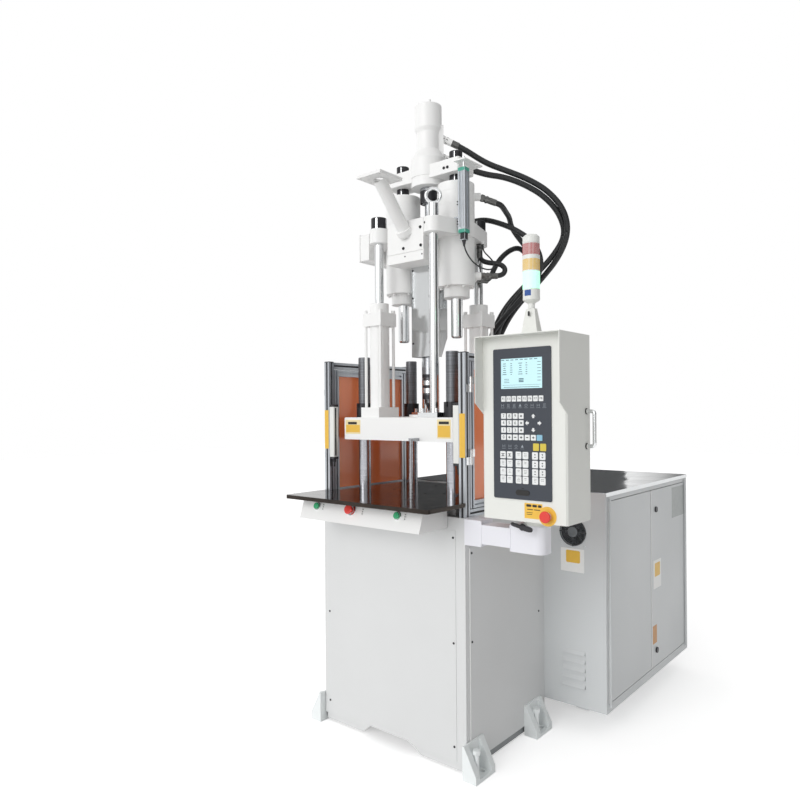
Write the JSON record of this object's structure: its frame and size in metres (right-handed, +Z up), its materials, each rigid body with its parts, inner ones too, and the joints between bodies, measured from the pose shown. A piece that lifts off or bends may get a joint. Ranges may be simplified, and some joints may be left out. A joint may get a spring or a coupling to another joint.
{
  "type": "vertical injection moulding machine",
  "caption": "Vertical plastics moulding machine with a mould table, tie bars, an upright injection unit, a swinging control box and a rear cabinet.",
  "frame": {"origin": "on the floor under the clamp axis, at the centre of the anchor holes", "axes": "+X to the operator's right, +Y to the back, +Z up"},
  "size_m": [1.33, 1.917, 2.78],
  "materials": {
    "machine_white": "satin powder coat",
    "control_grey": "satin powder coat",
    "cabinet_grey": "satin powder coat",
    "polished_sheet": "polished",
    "table_steel": "ground and oiled",
    "dark_steel": "blackened",
    "barrel_steel": "turned",
    "hard_chrome": "ground",
    "profile_aluminium": "anodised",
    "amber_sheet": "clear amber",
    "green_plastic": "moulded",
    "red_plastic": "moulded",
    "black_plastic": "moulded",
    "panel_foil": "membrane",
    "lamp_plastic": "moulded",
    "tank_paint": "paint",
    "zinc_plate": "galvanised",
    "hose_rubber": "matt"
  },
  "bodies": {
    "frame": {"base_frame": "machine_white", "base_covers": "machine_white", "levelling_feet": "machine_white", "fixed_platen": "machine_white", "table": "table_steel", "clamp_cylinder": "machine_white", "button_box": "machine_white", "guard_frames": "profile_aluminium", "light_curtains": "black_plastic", "platen_sensor_body": "black_plastic", "control_arm": "machine_white", "cabinet_shell": "cabinet_grey", "cabinet_top": "polished_sheet", "fan_frame": "black_plastic", "power_pack": "tank_paint", "electrics_panel": "zinc_plate", "motor_feed_hose": "hose_rubber", "motor_return_hose": "hose_rubber", "cylinder_top_hose": "hose_rubber", "seat_hose": "hose_rubber", "cylinder_bottom_hose": "hose_rubber"},
    "clamp": {"platen": "machine_white", "tie_bars": "hard_chrome", "tie_bar_nuts": "dark_steel", "lower_crosshead": "dark_steel", "carriage_cylinders": "machine_white", "guide_rods": "hard_chrome", "platen_sensor_rod": "barrel_steel"},
    "injection_unit": {"injection_seat": "machine_white", "injection_cylinders": "machine_white", "carriage_rods": "hard_chrome", "barrel": "barrel_steel", "barrel_guard": "polished_sheet", "nozzle": "barrel_steel", "feed_pipe": "machine_white", "junction_box": "machine_white", "transducer_body": "profile_aluminium", "link_hose": "hose_rubber", "sensor_cable": "hose_rubber"},
    "injection_head": {"crosshead": "machine_white", "hydraulic_motor": "machine_white", "injection_rods": "hard_chrome"},
    "screw": {"screw": "barrel_steel"},
    "ejector": {"ejector_rod": "dark_steel"},
    "left_guard": {"left_guard_door": "profile_aluminium", "left_door_pane": "amber_sheet"},
    "right_guard": {"right_guard_door": "profile_aluminium", "right_door_pane": "amber_sheet"},
    "front_cabinet_leaf": {"front_cabinet_door": "cabinet_grey"},
    "rear_cabinet_leaf": {"rear_cabinet_door": "cabinet_grey"},
    "lower_lock": {"lower_door_lock": "black_plastic"},
    "upper_lock": {"upper_door_lock": "black_plastic"},
    "control_unit": {"control_box": "control_grey", "control_panel": "panel_foil", "stack_light": "lamp_plastic"},
    "panel_stop": {"panel_estop": "red_plastic"},
    "table_stop": {"table_estop": "red_plastic"},
    "left_start": {"left_start_button": "green_plastic"},
    "right_start": {"right_start_button": "green_plastic"},
    "fan": {"fan_rotor": "black_plastic"}
  },
  "joints": [
    {"name": "clamp_stroke", "type": "slide", "parent": "frame", "child": "clamp", "axis": [0, 0, 1], "range_m": [-0.05, 0.15], "deforming": ["motor_feed_hose", "motor_return_hose", "cylinder_top_hose", "seat_hose", "cylinder_bottom_hose"]},
    {"name": "carriage_stroke", "type": "slide", "parent": "clamp", "child": "injection_unit", "axis": [0, 0, 1], "range_m": [-0.09, 0], "deforming": ["motor_feed_hose", "motor_return_hose", "cylinder_top_hose", "seat_hose", "cylinder_bottom_hose"]},
    {"name": "injection_stroke", "type": "slide", "parent": "injection_unit", "child": "injection_head", "axis": [0, 0, 1], "range_m": [0, 0.15], "deforming": ["motor_feed_hose", "motor_return_hose"]},
    {"name": "screw_turn", "type": "hinge", "parent": "injection_head", "child": "screw", "pos_m": [0, 0, 0], "axis": [0, 0, 1], "continuous": true},
    {"name": "ejector_stroke", "type": "slide", "parent": "frame", "child": "ejector", "axis": [0, 0, 1], "range_m": [0, 0.05]},
    {"name": "left_guard_hinge", "type": "hinge", "parent": "frame", "child": "left_guard", "pos_m": [-0.391, -0.2535, 0], "axis": [0, 0, 1], "range_deg": [0, 100]},
    {"name": "right_guard_hinge", "type": "hinge", "parent": "frame", "child": "right_guard", "pos_m": [0.391, -0.2535, 0], "axis": [0, 0, -1], "range_deg": [0, 45]},
    {"name": "front_cabinet_hinge", "type": "hinge", "parent": "frame", "child": "front_cabinet_leaf", "pos_m": [0.683, 0.36, 0], "axis": [0, 0, -1], "range_deg": [0, 100]},
    {"name": "rear_cabinet_hinge", "type": "hinge", "parent": "frame", "child": "rear_cabinet_leaf", "pos_m": [0.683, 1.355, 0], "axis": [0, 0, 1], "range_deg": [0, 100]},
    {"name": "lower_lock_turn", "type": "hinge", "parent": "rear_cabinet_leaf", "child": "lower_lock", "pos_m": [0.678, 0.927, 0.219], "axis": [1, 0, 0], "range_deg": [0, 90]},
    {"name": "upper_lock_turn", "type": "hinge", "parent": "rear_cabinet_leaf", "child": "upper_lock", "pos_m": [0.678, 0.927, 0.908], "axis": [1, 0, 0], "range_deg": [0, 90]},
    {"name": "control_swivel", "type": "hinge", "parent": "frame", "child": "control_unit", "pos_m": [0.68, -0.27, 0], "axis": [0, 0, 1], "range_deg": [-45, 90]},
    {"name": "panel_stop_push", "type": "slide", "parent": "control_unit", "child": "panel_stop", "axis": [0, 1, 0], "range_m": [0, 0.005]},
    {"name": "table_stop_push", "type": "slide", "parent": "frame", "child": "table_stop", "axis": [0, 0.9442, -0.3294], "range_m": [0, 0.005]},
    {"name": "left_start_push", "type": "slide", "parent": "frame", "child": "left_start", "axis": [0, 0.9442, -0.3294], "range_m": [0, 0.004], "stiffness_N_per_m": 600, "springref_m": -0.003},
    {"name": "right_start_push", "type": "slide", "parent": "frame", "child": "right_start", "axis": [0, 0.9442, -0.3294], "range_m": [0, 0.004], "stiffness_N_per_m": 600, "springref_m": -0.003},
    {"name": "fan_turn", "type": "hinge", "parent": "frame", "child": "fan", "pos_m": [0.528, 0.351, 0.865], "axis": [0, 1, 0], "continuous": true}
  ]
}
